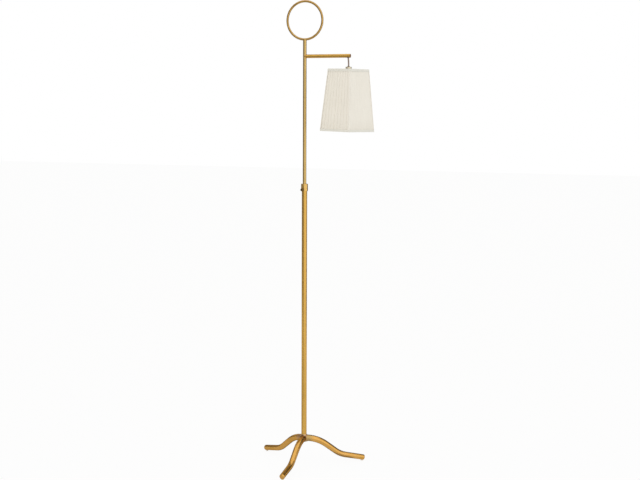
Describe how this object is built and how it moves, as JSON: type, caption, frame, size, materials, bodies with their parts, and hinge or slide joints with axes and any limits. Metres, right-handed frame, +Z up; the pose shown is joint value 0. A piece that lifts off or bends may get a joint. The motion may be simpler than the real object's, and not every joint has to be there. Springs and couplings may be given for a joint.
{
  "type": "floor lamp",
  "caption": "Slim gilt floor lamp: S-curved tripod, telescopic mast with clamp collar, ring finial, short arm and a square pleated shade hung on a cord.",
  "frame": {"origin": "on the floor, on the axis of the upright mast", "axes": "+Z up the mast, +X along the arm that carries the shade, +Y across it"},
  "size_m": [0.4546, 0.3572, 1.6767],
  "materials": {
    "gilt_metal": "satin",
    "dark_plug": "satin",
    "zinc_steel": "satin",
    "pad_rubber": "matte",
    "nylon": "matte",
    "dark_bush": "matte",
    "lead_sheath": "matte",
    "cord_braid": "matte",
    "cap_gilt": "satin",
    "pleated_silk": "matte",
    "trim_tape": "matte",
    "liner_film": "matte",
    "wire_paint": "satin",
    "socket_brass": "polished",
    "socket_fibre": "matte",
    "black_phenolic": "gloss",
    "contact_metal": "polished",
    "bulb_screw": "satin",
    "frosted_glass": "frosted"
  },
  "bodies": {
    "base": {"leg_right": "gilt_metal", "leg_left": "gilt_metal", "leg_front": "gilt_metal", "foot_pad_right": "pad_rubber", "foot_pad_left": "pad_rubber", "foot_pad_front": "pad_rubber", "hub": "gilt_metal", "lower_tube": "gilt_metal", "tube_insert": "zinc_steel", "hub_nipple": "zinc_steel", "hub_washer": "zinc_steel", "hub_nut": "zinc_steel", "lead_bush": "dark_bush", "collar": "gilt_metal", "lower_lead": "lead_sheath"},
    "mast_guide": {"guide_bush": "nylon"},
    "mast": {"mast_tube": "gilt_metal", "ring_finial": "gilt_metal", "arm_tube": "gilt_metal", "arm_end_plug": "dark_plug", "outlet_bush": "dark_bush", "mast_lead": "lead_sheath"},
    "clamp_pad": {"pressure_pad": "nylon"},
    "clamp_screw": {"thumbscrew": "gilt_metal"},
    "cord": {"drop_cord": "cord_braid"},
    "cord_end": {"cord_bush": "dark_bush"},
    "shade": {"shade_cap": "cap_gilt", "grip_screw": "zinc_steel", "pendant_nipple": "zinc_steel", "shade_spider": "wire_paint", "lock_nut": "zinc_steel", "bottom_wire": "wire_paint", "corner_ribs": "wire_paint", "shade_liner": "liner_film", "shade_cover": "pleated_silk", "top_trim": "trim_tape", "bottom_trim": "trim_tape", "corner_trim": "trim_tape", "socket_cap": "socket_brass", "socket_shell": "socket_brass", "socket_liner": "socket_fibre", "switch_body": "black_phenolic", "screw_shell": "contact_metal", "centre_contact": "contact_metal", "bulb_cap": "bulb_screw", "bulb_globe": "frosted_glass", "pendant_lead": "lead_sheath"},
    "switch": {"switch_knob": "black_phenolic"}
  },
  "joints": [
    {"name": "mast_height", "type": "slide", "parent": "base", "child": "mast_guide", "axis": [0, 0, 1], "range_m": [-0.3, 0.05], "deforming": ["lower_lead"]},
    {"name": "mast_turn", "type": "hinge", "parent": "mast_guide", "child": "mast", "pos_m": [0, 0, 1], "axis": [0, 0, 1], "range_deg": [-170, 170]},
    {"name": "screw_advance", "type": "slide", "parent": "base", "child": "clamp_pad", "axis": [-0.0872, -0.9962, 0], "range_m": [0, 0.0016]},
    {"name": "screw_turn", "type": "hinge", "parent": "clamp_pad", "child": "clamp_screw", "pos_m": [-0.00139, -0.01594, 1.0067], "axis": [-0.0872, -0.9962, 0], "range_deg": [0, 720]},
    {"name": "swing_along", "type": "hinge", "parent": "mast", "child": "cord", "pos_m": [0.1647, 0, 1.4752], "axis": [0, 1, 0], "range_deg": [-10, 10]},
    {"name": "swing_across", "type": "hinge", "parent": "cord", "child": "cord_end", "pos_m": [0.1664, 0, 1.4421], "axis": [1, 0, 0], "range_deg": [-10, 10]},
    {"name": "shade_turn", "type": "hinge", "parent": "cord_end", "child": "shade", "pos_m": [0.1664, 0, 1.4421], "axis": [0.0209, 0, 0.9998], "range_deg": [-180, 180]},
    {"name": "switch_turn", "type": "hinge", "parent": "shade", "child": "switch", "pos_m": [0.17252, 0.01873, 1.39986], "axis": [0.3501, 0.9367, -0.0073], "continuous": true}
  ],
  "couplings": [
    {"joint": "screw_advance", "follows": "screw_turn", "m_per_rad": 0.00012732}
  ]
}
